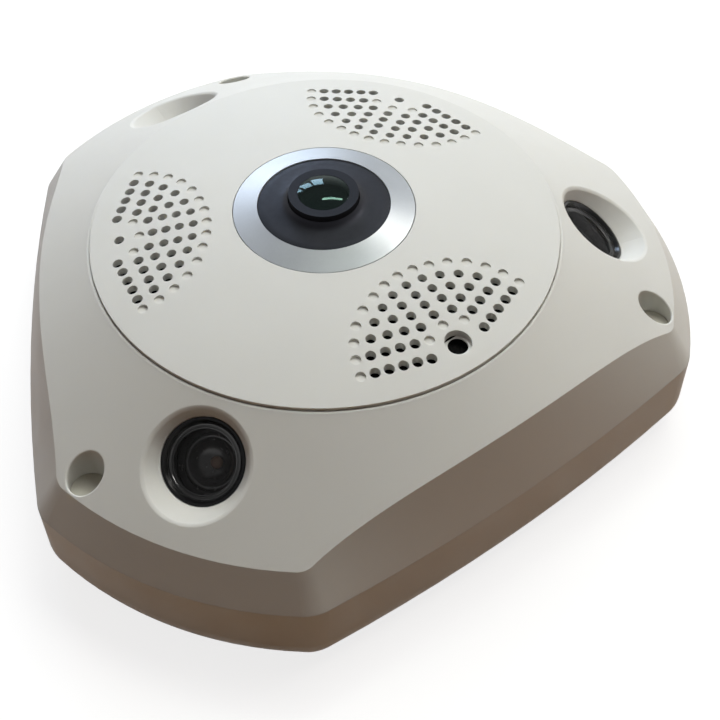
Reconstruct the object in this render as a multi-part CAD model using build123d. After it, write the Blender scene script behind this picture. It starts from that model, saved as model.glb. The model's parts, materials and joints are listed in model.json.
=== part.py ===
from build123d import *
import os
from collections import namedtuple
from math import acos, asin, atan2, cos, degrees, pi, radians, sin, sqrt, tan

# Ceiling fisheye camera. Millimetres, +Z up, origin at the middle of the mounting face.
# The three flats of the outline face -90, 30 and 150 degrees; the lamps sit in the three
# lobes between them. The microphone port is in the dot zone that faces -90 degrees.

# Outline and height
flat_angles = (-90.0, 30.0, 150.0)
lamp_angles = (90.0, -30.0, -150.0)
lobe_r = 82.4
flat_reach = 67.8
flat_bow_r = 440.0
corner_r = 9.0
split_z = 20.0
foot_r = 8.0

# Taper of the cover's side wall: how far its outline would draw in by taper_z
taper_z = 50.0
taper_lobe_proud = 5.1
taper_flat_draw = 9.1
taper_flat_bow_r = 84.0
taper_corner_r = 6.0

# Top faces
seam_r = 51.0
seam_z = 43.5
lobe_edge_z = 27.88
cover_wall = 3.0
crown_z = 50.0
dome_rise = 6.1

# Base tray
base_wall = 3.6
base_floor = 3.5
gasket_width = 1.6
gasket_depth = 1.4

# Clearances
seam_gap = 0.5
seam_bevel = 0.8
port_round = 1.0
recess_round = 0.3
fit_gap = 0.2
glide_gap = 0.1

# Cover screws
screw_lobe_inset = 9.5
screw_flat_inset = 11.29
recess_r = 3.95
recess_floor_z = 18.0
recess_floor = 2.5
recess_wall = 1.4
cover_screw_r = 2.0
cover_screw_head_r = 3.4
cover_screw_head = 3.2
cover_screw_length = 11.0
hex_socket_r = 1.5
hex_socket_depth = 2.0

# Mounting holes, cable ways and posts of the base
mount_edge = 11.8
mount_hole_r = 2.3
mount_pad_r = 6.0
mount_pad_top = 6.0
cable_hole_r = 9.0
cable_hole_reach = 54.0
cable_hole_angle = 90.0
cable_bore_r = 3.5
grommet_lip = 1.5
grommet_lip_height = 1.6
outlet_r = 5.0
outlet_z = 11.5
outlet_offset = 22.0
outlet_slot_width = 1.6
outlet_slot_depth = 1.5
outlet_overrun = 1.5
plug_inset = 0.8
post_ring_r = 46.0
post_lead_angle = 28.0
post_r = 3.5
post_hole_r = 1.25
frame_z = 22.0
frame_thickness = 2.0
frame_screw_length = 8.0
frame_r = 54.0
wire_hole_r = 5.0
wire_hole_ring_r = 40.0
wire_hole_spread = 30.0

# Grille disc
disc_thickness = 2.5
disc_hub_r = 22.0
web_thickness = 1.65
disc_ledge_width = 3.4
disc_rim_width = 2.8
ledge_z = 41.4
ledge_thickness = 2.2
bezel_r = 19.47
bezel_seat_z = 47.9
disc_opening_r = 16.0
outer_dot_r = 1.12
inner_dot_r = 0.96
blind_dot_r = 1.08
blind_dot_depth = 0.5
port_margin = 6.4
port_r = 2.1
port_counterbore_r = 2.83
port_counterbore_depth = 1.2
# Each row of a dot zone: its middle dot and its first side dot, measured in from the seam,
# then the side dot's offset, the pitch and lean of the rest, and how many are blind and open
GrilleRow = namedtuple("GrilleRow", "middle_margin first_margin first_offset pitch lean lead_blind open_dots")
grille_rows = [
    GrilleRow(6.8, 6.4, 6.8, 2.94, 19.5, 0, 5),
    GrilleRow(11.2, 9.9, 4.5, 3.10, 18.4, 1, 4),
    GrilleRow(14.1, 13.2, 4.05, 3.50, 20.2, 0, 4),
    GrilleRow(17.0, 16.4, 4.0, 3.80, 23.3, 0, 3),
    GrilleRow(19.9, 19.4, 3.95, 4.00, 27.7, 0, 2),
    GrilleRow(22.9, 22.5, 3.85, 3.98, 30.3, 0, 1),
    GrilleRow(25.8, 25.5, 3.7, 4.00, 30.0, 0, 0),
]
blind_middle_rows = (1, 6)
mesh_thickness = 0.4
mesh_sag = 1.45
mesh_inner_r = 23.0
mesh_margin = 4.4
mesh_half_angle = 30.0

# Lens stack, from the top down
bezel_inner_r = 14.3
bezel_top_z = 50.45
bezel_spigot_z = 46.0
shroud_edge_z = 50.25
shroud_face_r = 9.1
shroud_face_z = 50.6
shroud_collar_z = 52.1
shroud_wall = 1.6
shroud_flange = 1.6
barrel_head_r = 7.5
barrel_top_z = 53.4
barrel_head_z = 46.6
barrel_body_r = 6.9
barrel_foot_z = 32.6
barrel_bore_r = 5.0
glass_r = 5.51
glass_top_z = 54.4
glass_rise = 1.05
glass_seat_z = 51.4
rear_glass_r = 4.0
rear_glass_thickness = 1.6
lock_ring_height = 2.0
holder_tube_r = 9.5
holder_top_z = 43.5

# Sensor board and filter bay under the lens
board_thickness = 1.2
sensor_board_z = 26.0
sensor_board_width = 34.0
sensor_board_depth = 37.0
sensor_board_shift = -5.5
sensor_pad_r = 2.5
sensor_screw_x = 9.0
sensor_screw_y = 16.5
small_screw_r = 0.9
small_screw_head_r = 1.7
small_screw_head = 1.2
sensor_width = 10.0
sensor_depth = 9.0
sensor_height = 1.4
bay_width = 33.0
bay_front_y = -20.0
bay_back_y = 9.0
bay_wall = 1.5
bay_top_z = 33.4
bay_roof = 1.4
guide_thickness = 0.6
guide_gap = 0.1
rail_width = 2.0
rail_height = 1.6
rail_start_x = 7.0
filter_length = 16.6
filter_width = 8.6
filter_thickness = 1.0
filter_travel = 6.8
filter_glass_x = 6.0
filter_glass_y = 6.8
filter_glass_thickness = 0.5
tab_width = 4.4
tab_depth = 2.4
pin_inset = 0.7
arm_radius = 9.08
arm_half_swing = 22.0
arm_width = 2.0
arm_thickness = 0.8
drive_pin_r = 0.5
pin_slot_gap = 0.15
pivot_r = 0.6
rotor_r = 2.4
rotor_gap = 0.5
core_thickness = 1.0
core_reach = 9.0
coil_thickness = 1.0
coil_height = 2.4

# Lamps: place and tilt of the window, then sizes along the lamp's own axis
lamp_seam_reach = 9.6
lamp_sink = 3.745
lamp_lean = 6.5
lamp_port_r = 8.9
lamp_flare = 36.0
lamp_flare_height = 9.0
lamp_port_wall = 2.0
lamp_port_depth = 4.0
lamp_seal = 1.2
hood_flange = 1.0
hood_flange_r = 10.8
hood_length = 9.0
hood_bore_r = 7.6
hood_mouth_r = 8.2
hood_lip = 0.8
lamp_glass_thickness = 1.2
lamp_glass_rise = 0.9
reflector_r = 5.3
reflector_neck_r = 2.2
emitter_r = 1.3
emitter_pad = 0.8
lamp_board_thickness = 1.6
bracket_half_width = 6.0
bracket_inner_r = 42.0
bracket_seat_length = 7.0

# Speaker and microphone
speaker_inner_reach = 22.6
speaker_ledge_gap = 0.6
speaker_angle = 150.0
speaker_flange = 1.0
speaker_depth = 3.4
speaker_foam = 1.0
speaker_magnet_r = 7.0
speaker_magnet_height = 3.0
cone_rim = 2.6
cone_travel = 0.4
enclosure_wall = 1.3
basket_gap = 0.8
microphone_r = 2.0
microphone_height = 2.7
boot_wall = 0.9
boot_floor = 1.0

# Main board and what it carries
standoff_top_z = 7.5
main_board_r = 40.0
main_board_thickness = 1.6
standoff_ring_r = 33.0
standoff_angles = (45.0, 135.0, 225.0, 315.0)
standoff_r = 2.6
socket_width = 16.0
socket_depth = 14.0
socket_height = 11.5
socket_y = 24.0
socket_mouth_width = 11.8
socket_mouth_height = 6.8
socket_mouth_depth = 10.0
socket_mouth_lift = 2.2
terminal_pitch = 3.5
terminal_depth = 7.5
terminal_height = 8.5
terminal_hole_r = 1.1
power_terminal_x = 15.0
signal_terminal_x = -19.0
signal_terminal_back = 12.0
processor_width = 15.0
processor_height = 1.4
spreader_width = 18.0
spreader_height = 4.0
spreader_fins = 5
card_width = 11.0
card_length = 15.0
card_thickness = 0.8
card_travel_in = 0.8
card_x = -10.0
card_edge_inset = 1.5
card_proud = 1.6
card_back_wall = 1.0
card_socket_width = 14.0
card_socket_height = 1.8
card_shelf = 0.5
switch_width = 6.0
switch_height = 3.4
switch_x = 14.0
switch_y = -24.0
button_r = 1.7
button_height = 2.0
button_sunk = 1.0
button_travel = 0.3


# Sizes that follow from those above
taper_flat_reach = flat_reach - taper_flat_draw
taper_lobe_r = taper_flat_reach + taper_lobe_proud
lobe_edge_r = lobe_r - (lobe_r - taper_lobe_r) * (lobe_edge_z - split_z) / (taper_z - split_z)
cover_slope = degrees(atan2(seam_z - lobe_edge_z, lobe_edge_r - seam_r))
screw_ring_r = lobe_r - screw_lobe_inset
bow_reach = flat_bow_r - flat_reach
screw_bow_r = flat_bow_r - screw_flat_inset
screw_flat_lead = acos(
    (screw_bow_r ** 2 - screw_ring_r ** 2 - bow_reach ** 2) / (2 * screw_ring_r * bow_reach))
screw_lead_angle = lamp_angles[0] - flat_angles[1] - degrees(screw_flat_lead)
cover_screw_angles = [angle - screw_lead_angle for angle in lamp_angles]
recess_boss_r = recess_r + recess_wall
recess_boss_z = recess_floor_z - recess_floor
mount_ring_r = flat_reach - mount_edge
frame_top_z = frame_z + frame_thickness
port_reach = seam_r - port_margin
mesh_outer_r = seam_r - mesh_margin
mesh_depth = web_thickness + mesh_sag + mesh_thickness
lamp_r = seam_r + lamp_seam_reach
lamp_z = seam_z - lamp_seam_reach * tan(radians(cover_slope)) - lamp_sink
lamp_tilt = cover_slope + lamp_lean
hood_r = lamp_port_r - fit_gap
lamp_back = -hood_length - lamp_board_thickness
speaker_outer_reach = seam_r - disc_ledge_width - speaker_ledge_gap
speaker_reach = (speaker_outer_reach + speaker_inner_reach) / 2
speaker_r = (speaker_outer_reach - speaker_inner_reach) / 2
enclosure_r = speaker_r + fit_gap
cone_r = speaker_r - cone_rim
sphere_r = (seam_r ** 2 + dome_rise ** 2) / (2 * dome_rise)
board_top_z = sensor_board_z + board_thickness
bay_ceiling_z = bay_top_z - bay_roof
filter_z = board_top_z + sensor_height + guide_gap + guide_thickness + guide_gap
arm_z = filter_z + filter_thickness + guide_gap
tab_y = -(filter_width + tab_depth) / 2
pivot_y = -filter_width / 2 - pin_inset - arm_radius
sensor_screws = [
    (side * sensor_screw_x, sensor_board_shift + end * sensor_screw_y)
    for side in (-1, 1) for end in (-1, 1)]


def polar(radius, angle, z=0.0):
    """Point at a radius and an angle in degrees about the lens axis."""
    return Vector(radius * cos(radians(angle)), radius * sin(radians(angle)), z)


def rod(radius, bottom, top):
    """Upright cylinder on the lens axis."""
    return Pos(0, 0, bottom) * Cylinder(radius, top - bottom, align=(Align.CENTER, Align.CENTER, Align.MIN))


def tube(outer, inner, bottom, top):
    """Upright ring on the lens axis."""
    return rod(outer, bottom, top) - rod(inner, bottom, top)


def block(width, depth, bottom, top):
    """Upright box on the lens axis."""
    return Pos(0, 0, bottom) * Box(width, depth, top - bottom, align=(Align.CENTER, Align.CENTER, Align.MIN))


def turned(*points):
    """Solid turned about the lens axis from (radius, height) points."""
    return revolve(Plane.XZ * make_face(Polyline(*points, close=True)), Axis.Z)


def group(solids):
    """Separate solids that share one node."""
    return Part() + list(solids)


def lobed_outline(lobe, reach, bow, corner, inset):
    """Three round lobes and three bowed flats with rounded corners, moved inwards by inset."""
    face = Circle(lobe - inset)
    for angle in flat_angles:
        face &= Pos(polar(reach - bow, angle)) * Rot(0, 0, angle + 180) * Circle(bow - inset)
    return fillet(face.vertices(), corner - inset)


def low_outline(inset, z):
    return Pos(0, 0, z) * lobed_outline(lobe_r, flat_reach, flat_bow_r, corner_r, inset)


def cone_z(radius):
    """Height of the cover's conical top face."""
    return seam_z - (radius - seam_r) * tan(radians(cover_slope))


def dome_z(radius, depth=0.0):
    """Height of the grille disc's crown, or of the sphere that lies depth below it."""
    return crown_z - sphere_r + sqrt((sphere_r - depth) ** 2 - radius ** 2)


def dome_place(reach, angle, depth):
    """Frame square to the grille disc, depth below its outer face."""
    lean = degrees(asin(reach / sphere_r))
    return Pos(0, 0, crown_z - sphere_r) * Rot(0, 0, angle) * Rot(0, lean, 0) * Pos(0, 0, sphere_r - depth)


def lamp_place(angle):
    """Frame on a lamp's own axis with its origin in the window."""
    return Pos(polar(lamp_r, angle, lamp_z)) * Rot(0, 0, angle) * Rot(0, lamp_tilt, 0)


def cover_form(inset):
    """Outer form of the cover above the split, moved inwards by inset."""
    low = low_outline(inset, split_z)
    high = Pos(0, 0, taper_z) * lobed_outline(
        taper_lobe_r, taper_flat_reach, taper_flat_bow_r, taper_corner_r, inset)
    drop = inset / cos(radians(cover_slope))
    roof = turned(
        (0, split_z), (lobe_r, split_z), (lobe_r, cone_z(lobe_r) - drop), (0, cone_z(0) - drop))
    return loft([low, high], ruled=True) & roof


def make_front_cover():
    skin = cover_form(0)
    ledge_r = seam_r - disc_ledge_width
    opening_r = seam_r + seam_gap / 2
    shell = skin - cover_form(cover_wall)
    shell += tube(seam_r + cover_wall, ledge_r, ledge_z - ledge_thickness, ledge_z)
    columns = []
    recesses = []
    for angle in cover_screw_angles:
        place = Pos(polar(screw_ring_r, angle))
        columns.append(place * rod(recess_boss_r, split_z, crown_z))
        recesses.append(place * rod(recess_r, recess_floor_z, crown_z))
        recesses.append(place * rod(cover_screw_r + fit_gap, recess_boss_z, recess_floor_z))
    for angle in lamp_angles:
        place = lamp_place(angle)
        flare_r = lamp_port_r + lamp_flare_height * tan(radians(lamp_flare))
        cup = Pos(0, 0, lamp_flare_height / 2) * Cone(
            lamp_port_r + lamp_port_wall, flare_r + lamp_port_wall, lamp_flare_height)
        cup += rod(lamp_port_r + lamp_port_wall, -lamp_port_depth, 0)
        columns.append(place * cup)
        flare = Pos(0, 0, lamp_flare_height / 2) * Cone(lamp_port_r, flare_r, lamp_flare_height)
        recesses.append(place * (flare + rod(lamp_port_r, -2 * lamp_port_depth, 0)))
    shell += [column & skin for column in columns]
    feet = [
        Pos(polar(screw_ring_r, angle)) * rod(recess_boss_r, recess_boss_z, split_z)
        for angle in cover_screw_angles]
    shell += feet
    shell -= recesses
    shell -= rod(ledge_r, split_z, taper_z)
    shell -= rod(opening_r, ledge_z, taper_z)
    bevel_z = cone_z(opening_r) - seam_bevel
    bevel_r = opening_r + taper_z - bevel_z
    shell -= turned((0, bevel_z), (opening_r, bevel_z), (bevel_r, taper_z), (0, taper_z))
    return round_cover(shell)


def cover_top(shell):
    """The cover's conical top face."""
    return shell.faces().filter_by(GeomType.CONE).sort_by(SortBy.AREA)[-1]


def cover_rims(shell):
    """Rims of the openings that lie whole inside the top face, in order about the lens axis."""
    rims = [wire.edge() for wire in cover_top(shell).inner_wires()]
    return sorted(rims, key=lambda rim: atan2(rim.center().Y, rim.center().X))


def round_cover(shell):
    """Rounds the lamp ports and screw recesses, each limited by the wall beside it."""
    port_length = pi * (recess_r + lamp_port_r)
    for index in range(len(cover_rims(shell))):
        rim = cover_rims(shell)[index]
        radius = port_round if rim.length > port_length else recess_round
        wall = rim.distance_to(cover_top(shell).outer_wire())
        shell = shell.fillet(min(radius, wall / 2), [rim])
    return shell


def make_base_housing():
    tray = extrude(low_outline(0, 0), split_z)
    tray = fillet(tray.faces().sort_by(Axis.Z)[0].edges(), foot_r)
    tray -= extrude(low_outline(base_wall, base_floor), split_z)
    channel = (base_wall - gasket_width) / 2
    tray -= extrude(low_outline(channel, split_z - gasket_depth), gasket_depth) - extrude(
        low_outline(channel + gasket_width, split_z - gasket_depth), gasket_depth)
    bosses = []
    cuts = []
    for angle in cover_screw_angles:
        place = Pos(polar(screw_ring_r, angle))
        bosses.append(place * rod(recess_boss_r, base_floor, recess_boss_z))
        cuts.append(place * rod(cover_screw_r, recess_floor_z - cover_screw_length, recess_boss_z))
    for angle in flat_angles:
        place = Pos(polar(mount_ring_r, angle))
        bosses.append(place * rod(mount_pad_r, base_floor, mount_pad_top))
        cuts.append(place * rod(mount_hole_r, 0, mount_pad_top))
        place = Pos(polar(post_ring_r, angle + post_lead_angle))
        bosses.append(place * rod(post_r, base_floor, frame_z))
        cuts.append(place * rod(post_hole_r, frame_z - frame_screw_length, frame_z))
    for angle in standoff_angles:
        place = Pos(polar(standoff_ring_r, angle))
        bosses.append(place * rod(standoff_r, base_floor, standoff_top_z))
        cuts.append(place * rod(small_screw_r, base_floor, standoff_top_z))
    tray += bosses
    cuts.append(Pos(polar(cable_hole_reach, cable_hole_angle)) * rod(cable_hole_r, 0, base_floor))
    cuts.append(outlet_place() * rod(outlet_r, -base_wall - outlet_overrun, outlet_overrun))
    tray -= cuts
    return tray


def outlet_place():
    """Frame of the side cable outlet: Z points out of the rear right flat."""
    flat = Rot(0, 0, flat_angles[1])
    return flat * Pos(flat_reach, outlet_offset, outlet_z) * Rot(0, 90, 0)


def make_base_fittings():
    gasket = extrude(low_outline((base_wall - gasket_width) / 2, split_z - gasket_depth), gasket_depth)
    gasket -= extrude(low_outline((base_wall + gasket_width) / 2, split_z - gasket_depth), gasket_depth)
    nodes["cover_gasket"] = gasket
    screws = []
    for angle in cover_screw_angles:
        screw = rod(cover_screw_head_r, recess_floor_z, recess_floor_z + cover_screw_head)
        screw += rod(cover_screw_r, recess_floor_z - cover_screw_length, recess_floor_z)
        top = recess_floor_z + cover_screw_head
        hexagon = RegularPolygon(hex_socket_r, 6)
        screw -= extrude(Pos(0, 0, top - hex_socket_depth) * hexagon, hex_socket_depth)
        screws.append(Pos(polar(screw_ring_r, angle)) * screw)
    nodes["cover_screws"] = group(screws)
    grommet = turned(
        (cable_bore_r, 0), (cable_hole_r, 0), (cable_hole_r, base_floor),
        (cable_hole_r + grommet_lip, base_floor),
        (cable_hole_r + grommet_lip, base_floor + grommet_lip_height),
        (cable_bore_r, base_floor + 2 * grommet_lip_height))
    nodes["cable_grommet"] = Pos(polar(cable_hole_reach, cable_hole_angle)) * grommet
    plug = rod(outlet_r, -base_wall, -plug_inset)
    slot = block(outlet_slot_width, 2 * outlet_r, -plug_inset - outlet_slot_depth, -plug_inset)
    nodes["side_outlet_plug"] = outlet_place() * (plug - slot)


def make_grille_disc():
    disc_r = seam_r - seam_gap / 2
    rim_r = disc_r - disc_rim_width
    top_mid = (bezel_r + disc_r) / 2
    hub_mid = (disc_opening_r + disc_hub_r) / 2
    web_mid = (disc_hub_r + rim_r) / 2
    profile = Polyline(
        (disc_opening_r, dome_z(disc_opening_r, disc_thickness)), (disc_opening_r, bezel_seat_z),
        (bezel_r + fit_gap, bezel_seat_z), (bezel_r + fit_gap, dome_z(bezel_r + fit_gap)))
    profile += ThreePointArc(
        (bezel_r + fit_gap, dome_z(bezel_r + fit_gap)), (top_mid, dome_z(top_mid)), (disc_r, dome_z(disc_r)))
    profile += Polyline(
        (disc_r, dome_z(disc_r)), (disc_r, ledge_z), (rim_r, ledge_z), (rim_r, dome_z(rim_r, web_thickness)))
    profile += ThreePointArc(
        (rim_r, dome_z(rim_r, web_thickness)), (web_mid, dome_z(web_mid, web_thickness)),
        (disc_hub_r, dome_z(disc_hub_r, web_thickness)))
    profile += Line(
        (disc_hub_r, dome_z(disc_hub_r, web_thickness)), (disc_hub_r, dome_z(disc_hub_r, disc_thickness)))
    profile += ThreePointArc(
        (disc_hub_r, dome_z(disc_hub_r, disc_thickness)), (hub_mid, dome_z(hub_mid, disc_thickness)),
        (disc_opening_r, dome_z(disc_opening_r, disc_thickness)))
    disc = revolve(Plane.XZ * make_face(profile), Axis.Z)
    return disc - [hole for angle in flat_angles for hole in zone_holes(angle)]


def open_dot(radius, reach, offset):
    return Pos(reach, offset, 0) * rod(radius, ledge_z, crown_z)


def blind_dot(reach, offset):
    return Pos(reach, offset, 0) * rod(
        blind_dot_r, dome_z(sqrt(reach ** 2 + offset ** 2)) - blind_dot_depth, crown_z)


def zone_holes(angle):
    """Perforations of one dot zone: rows across the zone, alike on both sides of its middle."""
    holes = []
    last = len(grille_rows) - 1
    for index, row in enumerate(grille_rows):
        dot_r = outer_dot_r + (inner_dot_r - outer_dot_r) * index / last
        if index in blind_middle_rows:
            holes.append(blind_dot(seam_r - row.middle_margin, 0))
        elif index > 0 or angle != flat_angles[0]:
            holes.append(open_dot(dot_r, seam_r - row.middle_margin, 0))
        for side in (-1, 1):
            for step in range(row.lead_blind + row.open_dots + 1):
                reach = seam_r - row.first_margin - step * row.pitch * sin(radians(row.lean))
                offset = side * (row.first_offset + step * row.pitch * cos(radians(row.lean)))
                if row.lead_blind <= step < row.lead_blind + row.open_dots:
                    holes.append(open_dot(dot_r, reach, offset))
                else:
                    holes.append(blind_dot(reach, offset))
    if angle == flat_angles[0]:
        holes.append(Pos(port_reach, 0, 0) * rod(port_r, ledge_z, crown_z))
        floor = dome_z(port_reach) - port_counterbore_depth
        holes.append(Pos(port_reach, 0, 0) * rod(port_counterbore_r, floor, crown_z))
    return [Rot(0, 0, angle) * hole for hole in holes]


def make_dust_mesh():
    """Dark cloth behind each dot zone, flat and just clear of the domed disc."""
    sector = Circle(mesh_outer_r) - Circle(mesh_inner_r)
    reach = 2 * mesh_outer_r
    side = reach * sin(radians(mesh_half_angle))
    ahead = reach * cos(radians(mesh_half_angle))
    sector &= make_face(Polyline((0, 0), (ahead, -side), (ahead, side), close=True))
    middle = (mesh_inner_r + mesh_outer_r) / 2
    patches = []
    for angle in flat_angles:
        place = dome_place(middle, angle, mesh_depth)
        patches.append(place * extrude(Pos(-middle, 0, 0) * sector, mesh_thickness))
    return group(patches)


def make_lens_stack():
    nodes["bezel_ring"] = turned(
        (bezel_r, bezel_seat_z), (bezel_r, dome_z(bezel_r)), (bezel_inner_r, bezel_top_z),
        (bezel_inner_r, bezel_spigot_z), (disc_opening_r - fit_gap, bezel_spigot_z),
        (disc_opening_r - fit_gap, bezel_seat_z))
    shroud_r = bezel_inner_r - glide_gap
    collar_r = barrel_head_r + fit_gap
    flange_r = disc_opening_r - fit_gap
    flange_z = bezel_spigot_z - shroud_flange
    lock_top = holder_top_z + lock_ring_height
    nodes["lens_shroud"] = turned(
        (collar_r, lock_top), (collar_r, shroud_collar_z), (shroud_face_r, shroud_face_z),
        (shroud_r, shroud_edge_z), (shroud_r, bezel_spigot_z), (flange_r, bezel_spigot_z),
        (flange_r, flange_z), (shroud_r - shroud_wall, flange_z),
        (shroud_r - shroud_wall, shroud_edge_z - shroud_wall),
        (collar_r + shroud_wall, shroud_edge_z - shroud_wall),
        (collar_r + shroud_wall, lock_top))
    nodes["lens_barrel"] = turned(
        (rear_glass_r, barrel_foot_z), (barrel_body_r, barrel_foot_z), (barrel_body_r, barrel_head_z),
        (barrel_head_r, barrel_head_z), (barrel_head_r, barrel_top_z), (glass_r, barrel_top_z),
        (glass_r, glass_seat_z), (barrel_bore_r, glass_seat_z),
        (barrel_bore_r, barrel_foot_z + rear_glass_thickness),
        (rear_glass_r, barrel_foot_z + rear_glass_thickness))
    rim_z = glass_top_z - glass_rise
    dome = Polyline((0, glass_seat_z), (glass_r, glass_seat_z), (glass_r, rim_z))
    mid_r = glass_r / 2
    ball_r = (glass_r ** 2 + glass_rise ** 2) / (2 * glass_rise)
    mid_z = glass_top_z - ball_r + sqrt(ball_r ** 2 - mid_r ** 2)
    dome += ThreePointArc((glass_r, rim_z), (mid_r, mid_z), (0, glass_top_z))
    dome += Line((0, glass_top_z), (0, glass_seat_z))
    nodes["lens_front_glass"] = revolve(Plane.XZ * make_face(dome), Axis.Z)
    nodes["lens_rear_glass"] = rod(rear_glass_r, barrel_foot_z, barrel_foot_z + rear_glass_thickness)
    nodes["lens_lock_ring"] = tube(holder_tube_r, barrel_body_r, holder_top_z, lock_top)


def make_lens_holder():
    bay_y = (bay_front_y + bay_back_y) / 2
    bay_depth = bay_back_y - bay_front_y
    holder = Pos(0, bay_y) * block(bay_width, bay_depth, board_top_z, bay_top_z)
    holder += rod(holder_tube_r, bay_top_z, holder_top_z)
    inner_width = bay_width - 2 * bay_wall
    inner_depth = bay_depth - 2 * bay_wall
    holder -= Pos(0, bay_y) * block(inner_width, inner_depth, board_top_z, bay_ceiling_z)
    holder -= rod(barrel_body_r, board_top_z, holder_top_z)
    pivot_bottom = board_top_z + guide_gap
    holder += Pos(0, pivot_y) * rod(pivot_r, pivot_bottom, bay_ceiling_z)
    nodes["lens_holder"] = holder


def make_filter_changer():
    inner_x = bay_width / 2 - bay_wall
    back = bay_back_y - bay_wall
    front = -filter_width / 2 - rail_width
    guide_z = filter_z - guide_gap - guide_thickness
    guide = Pos(0, (back + front) / 2) * block(2 * inner_x, back - front, guide_z, guide_z + guide_thickness)
    rail_top = guide_z + guide_thickness + rail_height
    edge = filter_width / 2 + glide_gap
    guide += Pos(0, (back + edge) / 2) * block(2 * inner_x, back - edge, guide_z, rail_top)
    for side in (-1, 1):
        middle = side * (rail_start_x + inner_x) / 2
        rail = block(inner_x - rail_start_x, -edge - front, guide_z, rail_top)
        guide += Pos(middle, (front - edge) / 2) * rail
    guide -= block(filter_glass_x, filter_glass_y, guide_z, rail_top)
    nodes["filter_guide"] = guide
    centre_x = filter_travel / 2
    frame = block(filter_length, filter_width, filter_z, filter_z + filter_thickness)
    frame += Pos(0, tab_y) * block(tab_width, tab_depth, filter_z, filter_z + filter_thickness)
    slot = 2 * (drive_pin_r + pin_slot_gap)
    frame -= Pos(0, tab_y) * block(slot, tab_depth, filter_z, filter_z + filter_thickness)
    windows = {"infrared_cut_glass": -filter_travel / 2, "clear_glass": filter_travel / 2}
    for name, x in windows.items():
        frame -= Pos(x) * block(filter_glass_x, filter_glass_y, filter_z, filter_z + filter_thickness)
        glass_bottom = filter_z + (filter_thickness - filter_glass_thickness) / 2
        glass_top = glass_bottom + filter_glass_thickness
        pane = Pos(x) * block(filter_glass_x, filter_glass_y, glass_bottom, glass_top)
        nodes[name] = Pos(centre_x) * pane
    nodes["filter_frame"] = Pos(centre_x) * frame
    rotor_bottom = board_top_z + 2 * guide_gap
    arm = rod(rotor_r, rotor_bottom, arm_z)
    arm += rod(arm_width / 2 + pivot_r, arm_z, arm_z + arm_thickness)
    arm += Pos(0, arm_radius / 2) * block(arm_width, arm_radius, arm_z, arm_z + arm_thickness)
    arm += Pos(0, arm_radius) * rod(arm_width / 2, arm_z, arm_z + arm_thickness)
    arm += Pos(0, arm_radius) * rod(drive_pin_r, filter_z, arm_z)
    arm -= rod(pivot_r + glide_gap, rotor_bottom, arm_z + arm_thickness)
    nodes["filter_arm"] = Pos(0, pivot_y) * Rot(0, 0, -arm_half_swing) * arm
    inner = rotor_r + rotor_gap
    core_z = board_top_z + guide_gap
    core_top = core_z + core_thickness
    core_length = core_reach + 2 * core_thickness
    core = Pos(core_reach / 2) * block(core_length, 2 * (inner + core_thickness), core_z, core_top)
    core -= Pos(core_reach / 2 - core_thickness) * block(core_length, 2 * inner, core_z, core_top)
    nodes["drive_core"] = Pos(0, pivot_y) * core
    web_x = core_reach / 2 + core_length / 2 - core_thickness / 2
    coil_width = core_thickness + 2 * coil_thickness
    coil = Pos(web_x) * block(coil_width, 2 * inner - 2 * glide_gap, core_z, core_z + coil_height)
    coil -= Pos(web_x) * block(core_thickness, 2 * inner, core_z, core_top)
    nodes["drive_coil"] = Pos(0, pivot_y) * coil


def make_sensor_board():
    board = block(sensor_board_width, sensor_board_depth, sensor_board_z, board_top_z)
    board = Pos(0, sensor_board_shift) * board
    screws = []
    for x, y in sensor_screws:
        board -= Pos(x, y) * rod(small_screw_r, sensor_board_z, board_top_z)
        screw = rod(small_screw_r, frame_top_z, board_top_z)
        screw += rod(small_screw_head_r, board_top_z, board_top_z + small_screw_head)
        screws.append(Pos(x, y) * screw)
    nodes["sensor_board"] = board
    nodes["sensor_board_screws"] = group(screws)
    nodes["image_sensor"] = block(sensor_width, sensor_depth, board_top_z, board_top_z + sensor_height)


def make_inner_frame():
    top = frame_top_z
    frame = rod(frame_r, frame_z, top)
    frame += [Pos(x, y) * rod(sensor_pad_r, top, sensor_board_z) for x, y in sensor_screws]
    frame -= [Pos(x, y) * rod(small_screw_r, top, sensor_board_z) for x, y in sensor_screws]
    screws = []
    for angle in flat_angles:
        place = Pos(polar(post_ring_r, angle + post_lead_angle))
        frame -= place * rod(post_hole_r, frame_z, top)
        screw = rod(post_hole_r, frame_z - frame_screw_length, top)
        screw += rod(2 * post_hole_r, top, top + 2 * post_hole_r)
        screws.append(place * screw)
    for angle in lamp_angles:
        for side in (-1, 1):
            wire_hole = Pos(polar(wire_hole_ring_r, angle + side * wire_hole_spread))
            frame -= wire_hole * rod(wire_hole_r, frame_z, top)
        frame -= lamp_place(angle) * rod(hood_r + fit_gap, lamp_back - fit_gap, 0)
    nodes["inner_frame"] = frame
    nodes["inner_frame_screws"] = group(screws)


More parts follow.
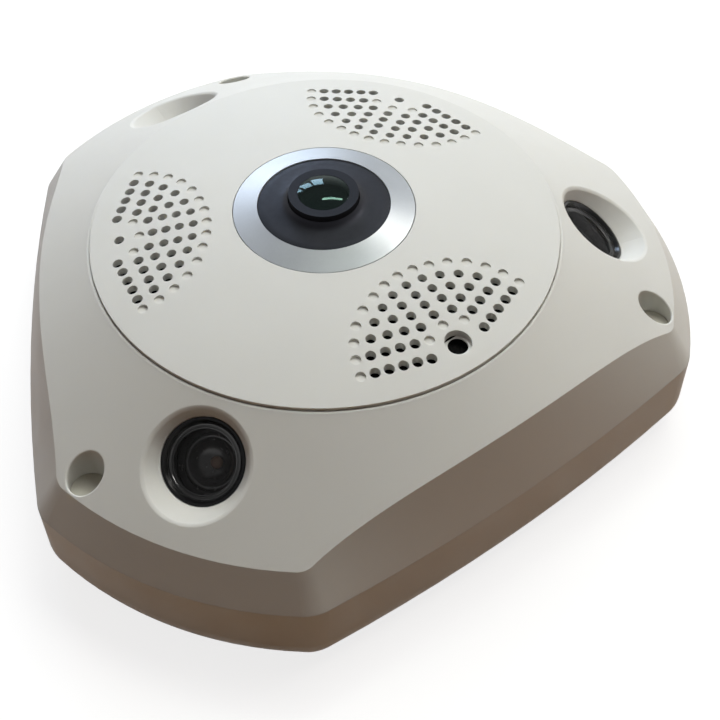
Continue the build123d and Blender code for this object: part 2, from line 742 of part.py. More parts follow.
def make_lamp(number, angle):
    """Hood, window, reflector, emitter on its board and heat-sink bracket of one lamp."""
    place = lamp_place(angle)
    hood = turned(
        (hood_bore_r, -hood_length), (hood_r, -hood_length), (hood_r, 0), (hood_mouth_r, 0),
        (hood_bore_r, -hood_lip))
    seal_bottom = -lamp_port_depth - lamp_seal
    hood += tube(hood_flange_r, hood_r, seal_bottom - hood_flange, seal_bottom)
    glass_bottom = -hood_lip - lamp_glass_thickness - lamp_glass_rise
    nodes[f"lamp_{number}_hood"] = place * hood
    window = rod(hood_bore_r, glass_bottom, glass_bottom + lamp_glass_thickness)
    nodes[f"lamp_{number}_window"] = place * window
    reflector_top = glass_bottom - lamp_glass_rise
    board_top = -hood_length
    reflector = turned(
        (reflector_neck_r, board_top), (hood_bore_r, board_top), (hood_bore_r, board_top + hood_lip),
        (reflector_r + hood_lip, board_top + hood_lip), (reflector_r + hood_lip, reflector_top),
        (reflector_r, reflector_top), (reflector_neck_r, board_top + hood_lip))
    nodes[f"lamp_{number}_reflector"] = place * reflector
    emitter = rod(emitter_r, board_top, board_top + emitter_pad)
    nodes[f"lamp_{number}_emitter_board"] = place * (rod(hood_r, lamp_back, board_top) + emitter)
    nodes[f"lamp_{number}_heat_bracket"] = Rot(0, 0, angle) * heat_bracket()


def heat_bracket():
    """Wedge that carries a lamp at its tilt on the inner frame, seen along its own radius."""
    lean = radians(lamp_tilt)
    seat_r = lamp_r + lamp_back * sin(lean)
    seat_z = lamp_z + lamp_back * cos(lean)
    outer_r = seat_r + (seat_z - frame_top_z) / tan(lean)
    inner_r = seat_r - bracket_seat_length * cos(lean)
    inner_z = seat_z + bracket_seat_length * sin(lean)
    side = make_face(Polyline(
        (bracket_inner_r, frame_top_z), (outer_r, frame_top_z), (inner_r, inner_z),
        (bracket_inner_r, inner_z), close=True))
    return extrude(Plane.XZ * side, bracket_half_width, both=True)


def make_lamp_seals():
    top = -lamp_port_depth
    ring = tube(hood_flange_r, lamp_port_r, top - lamp_seal, top)
    return group([lamp_place(angle) * ring for angle in lamp_angles])


def make_speaker():
    place = dome_place(speaker_reach, speaker_angle, mesh_depth + glide_gap)
    foam = tube(speaker_r, cone_r, -speaker_foam, 0)
    nodes["speaker_foam_ring"] = place * foam
    flange_top = -speaker_foam
    basket_bottom = flange_top - speaker_flange - speaker_depth
    basket = turned(
        (cone_r, flange_top), (speaker_r, flange_top), (speaker_r, flange_top - speaker_flange),
        (enclosure_r - enclosure_wall - basket_gap, flange_top - speaker_flange),
        (speaker_magnet_r + speaker_flange, basket_bottom), (0, basket_bottom),
        (0, basket_bottom + speaker_flange), (speaker_magnet_r, basket_bottom + speaker_flange),
        (cone_r, flange_top - speaker_flange))
    nodes["speaker_basket"] = place * basket
    magnet_bottom = basket_bottom - speaker_magnet_height
    nodes["speaker_magnet"] = place * rod(speaker_magnet_r, magnet_bottom, basket_bottom)
    cone_edge = flange_top - speaker_flange
    slack = cone_travel + glide_gap
    diaphragm = turned(
        (0, cone_edge - slack), (cone_r - glide_gap, cone_edge + slack),
        (cone_r - glide_gap, flange_top - slack + glide_gap), (0, cone_edge))
    nodes["speaker_cone"] = place * diaphragm
    seat = place * rod(2 * enclosure_r, flange_top - speaker_flange, enclosure_r)
    lip = (place * Pos(0, 0, flange_top - speaker_flange)).position
    column = Pos(lip.X, lip.Y)
    outer = column * rod(enclosure_r, frame_top_z, crown_z)
    inner = column * rod(enclosure_r - enclosure_wall, frame_top_z + enclosure_wall, crown_z)
    nodes["speaker_enclosure"] = outer - inner - seat


def make_microphone():
    place = dome_place(port_reach, flat_angles[0], web_thickness)
    boot_r = microphone_r + boot_wall
    top = -mesh_sag - mesh_thickness - glide_gap
    bottom = top - microphone_height - boot_floor
    capsule = rod(microphone_r, bottom + boot_floor, top)
    nodes["microphone_boot"] = place * (rod(boot_r, bottom, top) - capsule)
    nodes["microphone"] = place * capsule


def make_main_board():
    bottom = standoff_top_z
    top = bottom + main_board_thickness
    board = rod(main_board_r, bottom, top)
    screws = []
    for angle in standoff_angles:
        place = Pos(polar(standoff_ring_r, angle))
        board -= place * rod(small_screw_r, bottom, top)
        screw = rod(small_screw_r, base_floor, top) + rod(small_screw_head_r, top, top + small_screw_head)
        screws.append(place * screw)
    nodes["main_board"] = board
    nodes["main_board_screws"] = group(screws)
    socket = Pos(0, socket_y) * block(socket_width, socket_depth, top, top + socket_height)
    mouth_y = socket_y + (socket_depth - socket_mouth_depth) / 2
    lift = top + socket_mouth_lift
    mouth = block(socket_mouth_width, socket_mouth_depth, lift, lift + socket_mouth_height)
    socket -= Pos(0, mouth_y) * mouth
    nodes["network_socket"] = socket
    power = Pos(power_terminal_x, socket_y) * terminal(2, top)
    signal = Pos(signal_terminal_x, socket_y - signal_terminal_back) * terminal(4, top)
    nodes["terminal_blocks"] = group([power, signal])
    nodes["processor"] = block(processor_width, processor_width, top, top + processor_height)
    spreader_bottom = top + processor_height
    spreader_top = spreader_bottom + spreader_height
    slot_bottom = spreader_bottom + spreader_height / 3
    spreader = block(spreader_width, spreader_width, spreader_bottom, spreader_top)
    pitch = spreader_width / spreader_fins
    for index in range(spreader_fins - 1):
        x = (index + 1) * pitch - spreader_width / 2
        spreader -= Pos(x) * block(pitch / 2, spreader_width, slot_bottom, spreader_top)
    nodes["heat_spreader"] = spreader
    card_y = -main_board_r + card_edge_inset
    card_bottom = top + card_shelf
    card_top = card_bottom + card_thickness
    card = block(card_width, card_length, card_bottom, card_top)
    nodes["memory_card"] = Pos(card_x, card_y + card_length / 2) * card
    card_socket_depth = card_length - card_proud + card_travel_in + glide_gap + card_back_wall
    shell_y = card_y + card_proud + card_socket_depth / 2
    socket = Pos(card_x, shell_y) * block(card_socket_width, card_socket_depth, top, top + card_socket_height)
    gap = 2 * glide_gap
    throat = block(card_width + gap, card_socket_depth, card_bottom - glide_gap, card_top + glide_gap)
    socket -= Pos(card_x, shell_y - card_back_wall) * throat
    nodes["card_socket"] = socket
    place = Pos(switch_x, switch_y)
    switch_top = top + switch_height
    switch = block(switch_width, switch_width, top, switch_top)
    switch -= rod(button_r + glide_gap, switch_top - button_sunk - button_travel - glide_gap, switch_top)
    nodes["reset_switch"] = place * switch
    button_bottom = top + switch_height - button_sunk
    nodes["reset_button"] = place * rod(button_r, button_bottom, button_bottom + button_height)


def terminal(ways, bottom):
    """Screw terminal block with one wire entry a way."""
    body = block(ways * terminal_pitch, terminal_depth, bottom, bottom + terminal_height)
    entries = []
    for index in range(ways):
        x = (index - (ways - 1) / 2) * terminal_pitch
        place = Pos(x, terminal_depth / 2, bottom + terminal_height / 3) * Rot(90, 0, 0)
        entries.append(place * rod(terminal_hole_r, 0, terminal_depth / 2))
    return body - entries


nodes = {}
make_base_fittings()
nodes["base_housing"] = make_base_housing()
nodes["front_cover"] = make_front_cover()
nodes["grille_disc"] = make_grille_disc()
nodes["dust_mesh"] = make_dust_mesh()
make_lens_stack()
make_lens_holder()
make_filter_changer()
make_sensor_board()
make_inner_frame()
for lamp_index, lamp_angle in enumerate(lamp_angles):
    make_lamp(lamp_index + 1, lamp_angle)
nodes["lamp_seals"] = make_lamp_seals()
make_speaker()
make_microphone()
make_main_board()

os.makedirs("parts", exist_ok=True)
for name, shape in nodes.items():
    export_step(shape, f"parts/{name}.step")
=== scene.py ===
import json
import math
from collections import namedtuple

import bmesh
import bpy
import numpy as np
from mathutils import Matrix, Vector


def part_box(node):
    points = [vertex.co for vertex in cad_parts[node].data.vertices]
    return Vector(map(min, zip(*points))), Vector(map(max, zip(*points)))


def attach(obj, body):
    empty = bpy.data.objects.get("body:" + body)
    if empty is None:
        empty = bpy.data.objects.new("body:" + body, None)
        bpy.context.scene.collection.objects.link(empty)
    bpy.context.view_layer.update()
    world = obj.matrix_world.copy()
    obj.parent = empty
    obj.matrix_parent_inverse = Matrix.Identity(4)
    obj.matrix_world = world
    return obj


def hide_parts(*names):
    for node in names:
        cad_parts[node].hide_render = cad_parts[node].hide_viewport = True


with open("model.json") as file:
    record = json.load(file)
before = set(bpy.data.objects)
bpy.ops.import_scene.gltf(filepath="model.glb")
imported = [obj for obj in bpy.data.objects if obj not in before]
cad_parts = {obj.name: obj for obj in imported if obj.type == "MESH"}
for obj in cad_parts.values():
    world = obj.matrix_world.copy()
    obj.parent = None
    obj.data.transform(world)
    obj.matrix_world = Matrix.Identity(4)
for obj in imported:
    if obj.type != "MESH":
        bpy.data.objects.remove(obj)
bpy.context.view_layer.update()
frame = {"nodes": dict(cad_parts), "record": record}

MM = 0.001
NODES = frame["nodes"]
LAMPS = (1, 2, 3)
UP = Vector((0, 0, 1))
WHITE = (1, 1, 1, 1)

# View of the photograph: the camera looks down on the crown of the disc
PHOTO_AZIMUTH = -34.8
PHOTO_ELEVATION = 42.70
PHOTO_DISTANCE = 282.2 * MM
CROWN = Vector((0, 0, 50 * MM))
AIM_YAW = 1.97
AIM_PITCH = -49.51
AIM_ROLL = -0.96
SENSOR_WIDTH = 36.0
LENS_LENGTH = 65.61
NEAR_CLIP = 10 * MM

# Lights, as panes of the sky seen from the crown, in degrees: turn from +X about Z, height over the floor
Pane = namedtuple("Pane", "turn height width tall")
LIGHT_DISTANCE = 1.1
WINDOW_PANES = [
    Pane(turn=83.0, height=25.5, width=4.0, tall=10.0),
    Pane(turn=73.0, height=23.5, width=9.0, tall=13.0),
    Pane(turn=60.5, height=21.0, width=9.5, tall=17.0)]
WINDOW_RADIANCE = 9.2
WINDOW_COLOUR = (0.60, 0.76, 1.0)
CEILING_ENDS = ((61.2, 65.0), (13.1, 51.5))
CEILING_WIDTH = 3.8
CEILING_RADIANCE = 14.0
CEILING_COLOUR = (0.85, 0.97, 0.84)
SOFTBOX = Pane(turn=18.0, height=58.0, width=56.0, tall=40.0)
SOFTBOX_RADIANCE = 3.6
SOFTBOX_COLOUR = (1.0, 0.985, 0.95)
RING_LIGHT = Pane(turn=-8.0, height=43.0, width=30.0, tall=7.0)
RING_LIGHT_RADIANCE = 16.5
RING_LIGHT_COLOUR = (1.0, 0.98, 0.94)

# Room: what diffuse rays meet on the window's side and on the camera's side, and what is mirrored
ROOM_LIGHT_DIRECTION = (70.0, 30.0)
ROOM_LIGHT_SIDE = (0.52, 0.52, 0.54, 1)
ROOM_DARK_SIDE = (0.045, 0.024, 0.013, 1)
ROOM_FADE = (0.28, 0.95)
MIRRORED_CEILING = (0.30, 0.30, 0.30, 1)
MIRRORED_FADE = (0.12, 0.5)
FLOOR_SIZE = 6
FLOOR_ROUGHNESS = 0.8
FLOOR_SHOW = 0.80
FLOOR_SHADE = (0.30, 0.30, 0.30, 1)
FLOOR_BOUNCE = (0.36, 0.215, 0.115, 1)

# Finishes: tints, and where noise runs from one shade to the other
BLUISH = (0.74, 0.78, 1.0, 1)
BLACK_LOW = (0.85, 0.85, 0.90)
BLACK_HIGH = (1.15, 1.15, 1.25)
MIDDLE_SPREAD = (0.35, 0.65)
WIDE_SPREAD = (0.3, 0.7)
NARROW_SPREAD = (0.45, 0.55)

# Turned pieces, as outlines of radius and height in millimetres
LATHE_STEPS = 96
SHARP_ANGLE = math.radians(28)
WELD_DISTANCE = 0.002 * MM

# Lamp pieces, with heights from the middle of the CAD's window
REFLECTOR_OUTLINE = [
    (1.35, -6.7), (7.5, -6.7), (7.5, -3.5), (6.1, -3.5), (5.9, -3.2), (5.65, -2.98), (5.35, -2.9),
    (5.05, -2.98), (4.85, -3.2), (4.7, -3.6), (4.2, -4.45), (3.3, -5.2), (2.3, -5.7), (1.35, -5.95)]
EMITTER_OUTLINE = [(0, -5.9), (1.3, -5.9), (1.25, -5.55), (1.0, -5.28), (0.6, -5.12), (0, -5.05)]
RETAINER_OUTLINE = [
    (6.5, 0.62), (7.5, 0.62), (7.5, 1.30), (7.4, 1.33), (7.22, 1.26), (7.1, 1.12), (6.95, 1.08),
    (6.85, 1.12), (6.72, 1.2), (6.58, 1.14), (6.5, 1.0)]
WINDOW_OUTLINE = [
    (0, -0.6), (7.55, -0.6), (7.55, 1.45), (7.85, 1.75), (7.85, 1.85), (7.6, 1.95), (6.5, 2.05),
    (4.5, 2.12), (2.2, 2.16), (0, 2.17)]

# Cover pieces. A screw belongs to the lamp that it lies within 60 degrees of
SEAM_LIP_OUTLINE = [
    (50.85, 42.2), (50.85, 43.04), (50.95, 43.17), (51.1, 43.24), (51.3, 43.24), (51.75, 43.07),
    (52.1, 42.7), (52.1, 42.4), (51.3, 42.2)]
SCREW_CAP_RADIUS = 3.94
SCREW_CAP_TOP = 25.0
SCREW_CAP_CLEAR = 0.1
SCREW_CAP_BEVEL = 0.1
NEAR_LAMP_COSINE = 0.5

# Lens shroud, whose face runs down from the collar in one soft curve
SHROUD_COLLAR_RADIUS = 7.7
SHROUD_OUTER_RADIUS = 14.2
SHROUD_WALL = 1.6
SHROUD_FACE = [
    (7.72, 52.08), (7.85, 51.85), (8.05, 51.55), (8.35, 51.25), (8.75, 51.0), (9.3, 50.81),
    (10.0, 50.67), (11.0, 50.54), (12.5, 50.39), (14.1, 50.26), (14.2, 50.2)]
SHROUD_FACE_UNDERSIDE = 48.65
SHROUD_SPIGOT_HEIGHT = 46.0

# Pieces seen through the front glass, measured from its rim and its underside
INNER_LENS_INSET = 0.7
INNER_LENS_DEPTH = 3.4
INNER_LENS_THICKNESS = 1.5
INNER_LENS_RISE = 1.0
INNER_LENS_STEPS = 8
SPACER_OVERLAP = 0.15
SPACER_CLEAR = 0.1
SPACER_LIFT = 1.1
SPACER_WIDTH = 0.5
SPACER_STEPS = 4
SPACER_STEP_DOWN = 0.5
SPACER_STEP_IN = 0.12
SPACER_EDGE = 0.1


def toward(turn, height):
    """Direction from the crown, by a turn from +X about Z and a height over the floor in degrees."""
    turn, height = math.radians(turn), math.radians(height)
    return Vector((math.cos(turn) * math.cos(height), math.sin(turn) * math.cos(height), math.sin(height)))


def make_camera():
    """Camera at the photograph's place and aim. Its azimuth counts from the front, which faces -Y."""
    data = bpy.data.cameras.new("photo_camera")
    data.sensor_width = SENSOR_WIDTH
    data.lens = LENS_LENGTH
    data.clip_start = NEAR_CLIP
    camera = bpy.data.objects.new("photo_camera", data)
    bpy.context.scene.collection.objects.link(camera)
    place = CROWN + toward(PHOTO_AZIMUTH - 90, PHOTO_ELEVATION) * PHOTO_DISTANCE
    heading = Matrix.Rotation(math.radians(PHOTO_AZIMUTH - AIM_YAW), 4, "Z")
    pitch = Matrix.Rotation(math.radians(90 + AIM_PITCH), 4, "X")
    roll = Matrix.Rotation(math.radians(AIM_ROLL), 4, "Z")
    camera.matrix_world = Matrix.Translation(place) @ heading @ pitch @ roll
    bpy.context.scene.camera = camera


def new_node(tree, kind, **settings):
    """A new node in a tree, with its settings."""
    node = tree.nodes.new(kind)
    for key, value in settings.items():
        setattr(node, key, value)
    return node


def colour_ramp(tree, value, places, colours):
    """A colour that runs from the first to the second while a value passes two places."""
    ramp = new_node(tree, "ShaderNodeValToRGB")
    for element, place, colour in zip(ramp.color_ramp.elements, places, colours):
        element.position = place
        element.color = colour
    tree.links.new(value, ramp.inputs["Fac"])
    return ramp.outputs["Color"]


def grey(level):
    """The colour of a grey level."""
    return (level, level, level, 1)


def scaled(colour, share):
    """A colour at a share of its brightness."""
    return tuple(channel * share for channel in colour[:3]) + (1,)


class Material:
    """Node material around one Principled shader, in object coordinates."""

    def __init__(self, name, colour, roughness, **inputs):
        self.material = bpy.data.materials.new(name)
        self.material.use_nodes = True
        self.tree = self.material.node_tree
        self.shader = self.tree.nodes["Principled BSDF"]
        self.shader.inputs["Base Color"].default_value = colour
        self.shader.inputs["Roughness"].default_value = roughness
        self.set(**inputs)
        self.coords = new_node(self.tree, "ShaderNodeTexCoord").outputs["Object"]

    def set(self, **inputs):
        """Sets inputs of the shader, with underscores for the spaces in their names."""
        for key, value in inputs.items():
            self.shader.inputs[key.replace("_", " ")].default_value = value

    def link(self, source, target):
        """Leads an output into an input."""
        self.tree.links.new(source, target)

    def noise(self, size_mm, detail=2.0, roughness=0.5):
        """Noise with grains of about size_mm, as a value from 0 to 1."""
        noise = new_node(self.tree, "ShaderNodeTexNoise")
        noise.inputs["Scale"].default_value = 1 / (size_mm * MM)
        noise.inputs["Detail"].default_value = detail
        noise.inputs["Roughness"].default_value = roughness
        self.link(self.coords, noise.inputs["Vector"])
        return noise.outputs["Fac"]

    def vary_colour(self, value, low, high, spread=MIDDLE_SPREAD):
        """Runs the colour from low to high with a value."""
        self.link(colour_ramp(self.tree, value, spread, (low, high)), self.shader.inputs["Base Color"])

    def vary_roughness(self, value, low, high):
        """Runs the roughness from low to high with a value."""
        level = colour_ramp(self.tree, value, WIDE_SPREAD, (grey(low), grey(high)))
        self.link(level, self.shader.inputs["Roughness"])

    def bump(self, value, height_mm, strength=1.0):
        """Adds relief of height_mm from a value, over any relief already there."""
        bump = new_node(self.tree, "ShaderNodeBump")
        bump.inputs["Distance"].default_value = height_mm * MM
        bump.inputs["Strength"].default_value = strength
        self.link(value, bump.inputs["Height"])
        normal = self.shader.inputs["Normal"]
        if normal.is_linked:
            self.link(normal.links[0].from_socket, bump.inputs["Normal"])
        self.link(bump.outputs["Normal"], normal)


def white_plastic(name, colour, grain_mm):
    """Moulded plastic with a fine spark-eroded grain, into which a little light sinks."""
    plastic = Material(
        name, colour, roughness=0.5, Specular_IOR_Level=0.22, Subsurface_Weight=0.35,
        Subsurface_Scale=1.2 * MM, Subsurface_Radius=(1.0, 0.95, 0.85))
    plastic.vary_colour(plastic.noise(size_mm=22, detail=3), scaled(colour, share=0.975), colour, WIDE_SPREAD)
    plastic.vary_roughness(plastic.noise(size_mm=5, detail=3), low=0.50, high=0.60)
    plastic.bump(plastic.noise(grain_mm, detail=3, roughness=0.6), height_mm=0.012, strength=0.7)
    plastic.bump(plastic.noise(size_mm=2.4), height_mm=0.008, strength=0.35)
    return plastic.material


def satin_metal(name, colour, roughness, turned=False):
    """Blasted metal whose grain is a soft play of gloss. Turned metal also shines along two spokes."""
    metal = Material(name, colour, roughness, Metallic=1.0)
    if turned:
        tangent = new_node(metal.tree, "ShaderNodeTangent", direction_type="RADIAL", axis="Z")
        metal.link(tangent.outputs["Tangent"], metal.shader.inputs["Tangent"])
        metal.set(Anisotropic=0.65, Anisotropic_Rotation=0.25)
    metal.vary_colour(metal.noise(size_mm=7, detail=3), scaled(colour, share=0.95), colour)
    metal.vary_roughness(metal.noise(size_mm=0.5, detail=3), low=roughness - 0.03, high=roughness + 0.04)
    metal.bump(metal.noise(size_mm=0.3), height_mm=0.0007, strength=0.5)
    return metal.material


def black_finish(name, level, roughness, specular=0.5, tint=WHITE):
    """Black paint, plastic or rubber, a touch bluer where it is lighter."""
    low = tuple(level * share for share in BLACK_LOW) + (1,)
    high = tuple(level * share for share in BLACK_HIGH) + (1,)
    black = Material(name, high, roughness, Specular_IOR_Level=specular, Specular_Tint=tint)
    black.vary_colour(black.noise(size_mm=4, detail=3), low, high)
    black.vary_roughness(black.noise(size_mm=1.2, detail=3), low=roughness - 0.04, high=roughness + 0.06)
    black.bump(black.noise(size_mm=0.3, detail=3), height_mm=0.003, strength=0.6)
    return black.material


def coated_glass(name, colour, alpha, specular, tint=WHITE):
    """Dark glass that lets part of the light through and mirrors a little of the room."""
    glass = Material(
        name, colour, roughness=0.03, Alpha=alpha, Specular_IOR_Level=specular, Specular_Tint=tint)
    glass.vary_colour(glass.noise(size_mm=5), scaled(colour, share=0.7), colour)
    glass.vary_roughness(glass.noise(size_mm=3), low=0.02, high=0.05)
    return glass.material


def soft_weave(name, level):
    """Cloth or foam with a coarse, dull face."""
    weave = Material(name, grey(level), roughness=0.95, Specular_IOR_Level=0.15)
    weave.vary_colour(weave.noise(size_mm=0.5), grey(level * 0.5), grey(level * 1.5))
    weave.bump(weave.noise(size_mm=0.35, detail=1), height_mm=0.1)
    return weave.material


def circuit_board(name, colour, low, high):
    """Board under solder mask, darker and lighter in patches."""
    board = Material(name, colour, roughness=0.35)
    board.vary_colour(board.noise(size_mm=4, detail=4), low, high, NARROW_SPREAD)
    board.bump(board.noise(size_mm=1.5), height_mm=0.03, strength=0.5)
    return board.material


def make_materials():
    """Every finish by its name: those of the record's slots, and those of the scene's own pieces."""
    finishes = {
        "white_cover": (white_plastic, dict(colour=(0.715, 0.715, 0.685, 1), grain_mm=0.32)),
        "white_base": (white_plastic, dict(colour=(0.70, 0.695, 0.66, 1), grain_mm=0.4)),
        "cap_plastic": (white_plastic, dict(colour=(0.58, 0.57, 0.50, 1), grain_mm=0.3)),
        "emitter_lens": (white_plastic, dict(colour=(0.80, 0.68, 0.60, 1), grain_mm=0.3)),
        "silver": (satin_metal, dict(colour=(0.64, 0.645, 0.66, 1), roughness=0.52, turned=True)),
        "steel": (satin_metal, dict(colour=(0.55, 0.55, 0.56, 1), roughness=0.32)),
        "aluminium": (satin_metal, dict(colour=(0.66, 0.67, 0.69, 1), roughness=0.4)),
        "copper": (satin_metal, dict(colour=(0.72, 0.36, 0.2, 1), roughness=0.35)),
        "black_shroud": (black_finish, dict(level=0.012, roughness=0.5, specular=0.34, tint=BLUISH)),
        "black_metal": (black_finish, dict(level=0.009, roughness=0.42, specular=0.23, tint=BLUISH)),
        "hood_gloss": (black_finish, dict(level=0.006, roughness=0.2, specular=0.35)),
        "reflector": (black_finish, dict(level=0.035, roughness=0.22, specular=1.0)),
        "retainer_gloss": (black_finish, dict(level=0.012, roughness=0.16, specular=1.0)),
        "rubber": (black_finish, dict(level=0.02, roughness=0.7)),
        "component": (black_finish, dict(level=0.03, roughness=0.5)),
        "terminal": (black_finish, dict(level=0.05, roughness=0.5)),
        "optical_glass": (coated_glass, dict(
            colour=grey(0.001), alpha=0.5, specular=0.9, tint=(0.62, 1, 0.92, 1))),
        "inner_glass": (coated_glass, dict(
            colour=(0.001, 0.002, 0.002, 1), alpha=0.85, specular=0.08, tint=(0.5, 1, 0.8, 1))),
        "dark_window": (coated_glass, dict(colour=(0.006, 0.0055, 0.005, 1), alpha=0.15, specular=1.0)),
        "red_glass": (coated_glass, dict(colour=(0.3, 0.06, 0.07, 1), alpha=0.6, specular=0.5)),
        "foam": (soft_weave, dict(level=0.05)),
        "cloth": (soft_weave, dict(level=0.006)),
        "board": (circuit_board, dict(
            colour=(0.01, 0.09, 0.04, 1), low=(0.006, 0.06, 0.028, 1), high=(0.015, 0.12, 0.05, 1))),
    }
    return {name: make(name, **settings) for name, (make, settings) in finishes.items()}


def dress_nodes(materials):
    """Gives every CAD node the material of its slot, and the lamp hoods their gloss."""
    slots = {entry["node"]: entry["material_slot"] for entry in frame["record"]["subparts"]}
    for name, obj in NODES.items():
        obj.data.materials.clear()
        finish = "hood_gloss" if name.endswith("_hood") else slots[name]
        obj.data.materials.append(materials[finish])


def turned_piece(name, outline, material, centre=Vector(), axis=UP):
    """A closed outline turned about an axis that starts at centre, riding on the housing."""
    mesh = bmesh.new()
    ring = [mesh.verts.new((radius * MM, 0, height * MM)) for radius, height in outline]
    edges = [mesh.edges.new(pair) for pair in zip(ring[1:], ring)]
    if outline[0][0] > 0:
        edges.append(mesh.edges.new((ring[-1], ring[0])))
    bmesh.ops.spin(mesh, geom=ring + edges, cent=Vector(), axis=UP, angle=math.tau, steps=LATHE_STEPS)
    bmesh.ops.remove_doubles(mesh, verts=mesh.verts, dist=WELD_DISTANCE)
    bmesh.ops.recalc_face_normals(mesh, faces=mesh.faces)
    turn = axis.to_track_quat("Z", "Y").to_matrix().to_4x4()
    bmesh.ops.transform(mesh, matrix=Matrix.Translation(centre) @ turn, verts=mesh.verts)
    data = bpy.data.meshes.new(name)
    mesh.to_mesh(data)
    mesh.free()
    data.shade_smooth()
    data.set_sharp_from_angle(angle=SHARP_ANGLE)
    data.materials.append(material)
    piece = bpy.data.objects.new(name, data)
    bpy.context.scene.collection.objects.link(piece)
    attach(piece, "housing")
    return piece


def node_points(name):
    """The corner points of a CAD node's mesh, one to a row."""
    return np.array([vertex.co for vertex in NODES[name].data.vertices])


def disc_axis(name):
    """Centre and upward axis of a thin round CAD node, from its mesh."""
    points = node_points(name)
    centre = (points.min(axis=0) + points.max(axis=0)) / 2
    _, axes = np.linalg.eigh(np.cov((points - centre).T))
    axis = Vector(axes[:, 0])
    return Vector(centre), axis if axis.z > 0 else -axis


def make_lamp_optics(materials):
    """Ringed reflector, emitter lens, retainer and domed front window of each lamp."""
    for number in LAMPS:
        place = disc_axis(f"lamp_{number}_window")
        reflector = turned_piece(
            f"lamp_{number}_ringed_reflector", REFLECTOR_OUTLINE, materials["reflector"], *place)
        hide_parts(f"lamp_{number}_reflector")
        turned_piece(f"lamp_{number}_emitter_lens", EMITTER_OUTLINE, materials["emitter_lens"], *place)
        turned_piece(f"lamp_{number}_retainer", RETAINER_OUTLINE, materials["retainer_gloss"], *place)
        window = turned_piece(
            f"lamp_{number}_front_window", WINDOW_OUTLINE, materials["dark_window"], *place)
        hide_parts(f"lamp_{number}_window")


def make_lens_inside(materials):
    """Hollow-faced inner lens and the stepped spacers below the front glass."""
    low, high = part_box("lens_front_glass")
    reach = (high[0] - low[0]) / 2 / MM - INNER_LENS_INSET
    seat = low[2] / MM
    middle = seat - INNER_LENS_DEPTH
    back = middle - INNER_LENS_THICKNESS
    bowl = [(0, back), (reach, back)]
    for step in range(INNER_LENS_STEPS + 1):
        share = 1 - step / INNER_LENS_STEPS
        bowl.append((reach * share, middle + INNER_LENS_RISE * share ** 2))
    turned_piece("lens_inner_element", bowl, materials["inner_glass"])
    foot = middle + SPACER_LIFT
    spacers = [(reach + SPACER_OVERLAP, foot), (reach + SPACER_OVERLAP, seat - SPACER_CLEAR)]
    for step in range(SPACER_STEPS):
        top = seat - SPACER_CLEAR - step * SPACER_STEP_DOWN
        inner = reach + SPACER_EDGE - SPACER_STEP_IN * (step + 1)
        spacers += [(inner + SPACER_EDGE, top), (inner, top - SPACER_STEP_DOWN / 2)]
    spacers.append((reach - SPACER_WIDTH, foot))
    turned_piece("lens_spacer", spacers, materials["black_metal"])


def make_screw_caps(materials):
    """Pale caps that close the screw recesses part of the way down."""
    screws = node_points("cover_screws")
    head = screws[:, 2].max() / MM + SCREW_CAP_CLEAR
    outline = [
        (0, head), (SCREW_CAP_RADIUS, head), (SCREW_CAP_RADIUS, SCREW_CAP_TOP - SCREW_CAP_BEVEL),
        (SCREW_CAP_RADIUS - SCREW_CAP_BEVEL, SCREW_CAP_TOP), (0, SCREW_CAP_TOP)]
    for number in LAMPS:
        lamp, _ = disc_axis(f"lamp_{number}_window")
        along = screws[:, 0] * lamp.x + screws[:, 1] * lamp.y
        reach = np.hypot(screws[:, 0], screws[:, 1]) * lamp.xy.length
        near = screws[along > NEAR_LAMP_COSINE * reach]
        x, y, _ = (near.min(axis=0) + near.max(axis=0)) / 2
        turned_piece(f"cover_screw_cap_{number}", outline, materials["cap_plastic"], Vector((x, y, 0)))


def make_seam_lip(materials):
    """Rounded lip of the cover along the seam round the disc."""
    turned_piece("seam_lip", SEAM_LIP_OUTLINE, materials["white_cover"])


def make_shroud(materials):
    """Lens shroud with a collar that runs softly into its face."""
    low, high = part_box("lens_shroud")
    foot = low[2] / MM
    flange = high[0] / MM
    inner = SHROUD_OUTER_RADIUS - SHROUD_WALL
    collar = SHROUD_COLLAR_RADIUS + SHROUD_WALL
    flange_foot = SHROUD_SPIGOT_HEIGHT - SHROUD_WALL
    outline = [(SHROUD_COLLAR_RADIUS, foot), (SHROUD_COLLAR_RADIUS, high[2] / MM), *SHROUD_FACE]
    outline += [
        (SHROUD_OUTER_RADIUS, SHROUD_SPIGOT_HEIGHT), (flange, SHROUD_SPIGOT_HEIGHT), (flange, flange_foot),
        (inner, flange_foot), (inner, SHROUD_FACE_UNDERSIDE), (collar, SHROUD_FACE_UNDERSIDE), (collar, foot)]
    shroud = turned_piece("soft_lens_shroud", outline, materials["black_shroud"])
    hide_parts("lens_shroud")


def area_light(name, direction, across, width, tall, radiance, colour):
    """Soft light that spans the given degrees as seen from the crown, its width lying across."""
    data = bpy.data.lights.new(name, "AREA")
    data.shape = "RECTANGLE"
    data.size = 2 * LIGHT_DISTANCE * math.tan(math.radians(width / 2))
    data.size_y = 2 * LIGHT_DISTANCE * math.tan(math.radians(tall / 2))
    data.energy = radiance * math.pi * data.size * data.size_y
    data.color = colour
    light = bpy.data.objects.new(name, data)
    bpy.context.scene.collection.objects.link(light)
    up = direction.cross(across).normalized()
    aim = Matrix((up.cross(direction), up, direction)).transposed().to_4x4()
    light.matrix_world = Matrix.Translation(CROWN + direction * LIGHT_DISTANCE) @ aim
    return light


def pane_light(name, pane, radiance, colour):
    """Area light that fills a pane of the sky, its width lying level."""
    direction = toward(pane.turn, pane.height)
    return area_light(name, direction, UP.cross(direction), pane.width, pane.tall, radiance, colour)


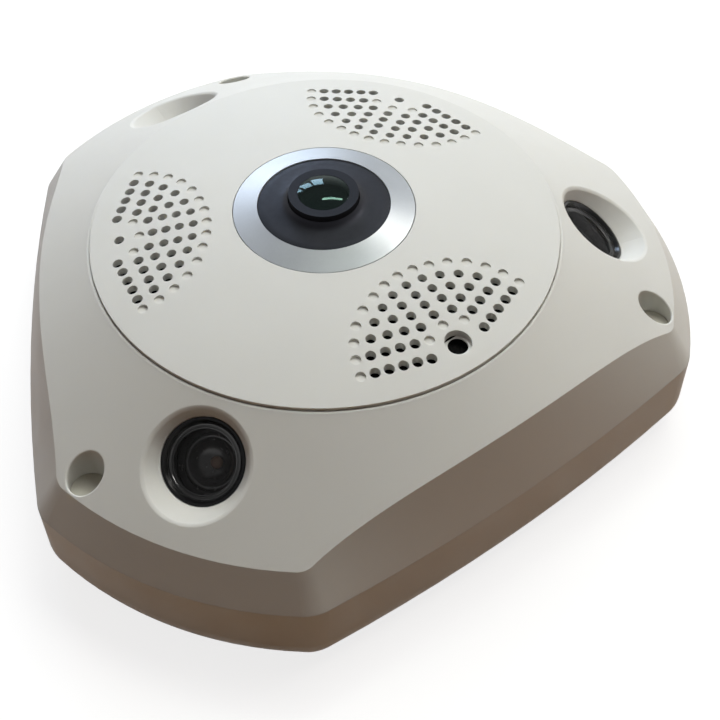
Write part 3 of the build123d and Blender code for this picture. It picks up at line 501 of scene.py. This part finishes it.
def make_lights():
    """Window, ceiling strip, a softbox that nothing mirrors, and a gloss-only light set for the ring."""
    for number, pane in enumerate(WINDOW_PANES, 1):
        pane_light(f"window_pane_{number}", pane, WINDOW_RADIANCE, WINDOW_COLOUR)
    first, last = (toward(*end) for end in CEILING_ENDS)
    middle = (first + last).normalized()
    length = math.degrees(first.angle(last))
    area_light(
        "ceiling_light", middle, last - first, length, CEILING_WIDTH, CEILING_RADIANCE, CEILING_COLOUR)
    softbox = pane_light("softbox", SOFTBOX, SOFTBOX_RADIANCE, SOFTBOX_COLOUR)
    softbox.visible_glossy = False
    ring_light = pane_light("ring_light", RING_LIGHT, RING_LIGHT_RADIANCE, RING_LIGHT_COLOUR)
    ring_light.visible_diffuse = False


def direct_ray(tree):
    """The camera ray, and 1 for rays that should meet the white background: seen, mirrored, through glass."""
    path = new_node(tree, "ShaderNodeLightPath")
    camera_ray = total = path.outputs["Is Camera Ray"]
    for kind in ("Is Glossy Ray", "Is Transmission Ray"):
        more = new_node(tree, "ShaderNodeMath", operation="MAXIMUM")
        tree.links.new(total, more.inputs[0])
        tree.links.new(path.outputs[kind], more.inputs[1])
        total = more.outputs[0]
    return camera_ray, total


def make_world():
    """White where it is seen, with a dimmer ceiling in reflections; a soft room for diffuse light."""
    world = bpy.data.worlds.new("studio")
    world.use_nodes = True
    bpy.context.scene.world = world
    tree = world.node_tree
    tree.nodes.clear()
    camera_ray, direct = direct_ray(tree)
    coords = new_node(tree, "ShaderNodeTexCoord")

    def gradient(direction, places, colours):
        """Background that runs between two colours along a direction."""
        dot = new_node(tree, "ShaderNodeVectorMath", operation="DOT_PRODUCT")
        dot.inputs[1].default_value = direction
        tree.links.new(coords.outputs["Generated"], dot.inputs[0])
        shader = new_node(tree, "ShaderNodeBackground")
        tree.links.new(colour_ramp(tree, dot.outputs["Value"], places, colours), shader.inputs["Color"])
        return shader.outputs["Background"]

    def mixed(share, first, second):
        """The first shader where the share is 0, and the second where it is 1."""
        mix = new_node(tree, "ShaderNodeMixShader")
        tree.links.new(share, mix.inputs["Fac"])
        tree.links.new(first, mix.inputs[1])
        tree.links.new(second, mix.inputs[2])
        return mix.outputs["Shader"]

    room = gradient(toward(*ROOM_LIGHT_DIRECTION), ROOM_FADE, (ROOM_DARK_SIDE, ROOM_LIGHT_SIDE))
    mirrored = gradient(UP, MIRRORED_FADE, (WHITE, MIRRORED_CEILING))
    seen = new_node(tree, "ShaderNodeBackground")
    seen.inputs["Color"].default_value = WHITE
    shown = mixed(camera_ray, mirrored, seen.outputs["Background"])
    out = new_node(tree, "ShaderNodeOutputWorld")
    tree.links.new(mixed(direct, room, shown), out.inputs["Surface"])


def make_stage():
    """Pale floor that shows white with the object's soft shadow, and throws warm light back."""
    bpy.ops.mesh.primitive_plane_add(size=FLOOR_SIZE)
    floor = bpy.context.active_object
    floor.name = "studio_floor"
    pale = Material(
        "pale_floor", FLOOR_BOUNCE, FLOOR_ROUGHNESS, Specular_IOR_Level=0.0, Emission_Color=WHITE)
    _, direct = direct_ray(pale.tree)
    colour = new_node(pale.tree, "ShaderNodeMix", data_type="RGBA")
    colour.inputs["A"].default_value = FLOOR_BOUNCE
    colour.inputs["B"].default_value = FLOOR_SHADE
    pale.link(direct, colour.inputs["Factor"])
    pale.link(colour.outputs["Result"], pale.shader.inputs["Base Color"])
    show = new_node(pale.tree, "ShaderNodeMath", operation="MULTIPLY")
    show.inputs[1].default_value = FLOOR_SHOW
    pale.link(direct, show.inputs[0])
    pale.link(show.outputs[0], pale.shader.inputs["Emission Strength"])
    floor.data.materials.append(pale.material)


materials = make_materials()
make_camera()
dress_nodes(materials)
make_lamp_optics(materials)
make_lens_inside(materials)
make_screw_caps(materials)
make_seam_lip(materials)
make_shroud(materials)
make_stage()
make_lights()
make_world()
bpy.context.scene.view_settings.view_transform = "Standard"
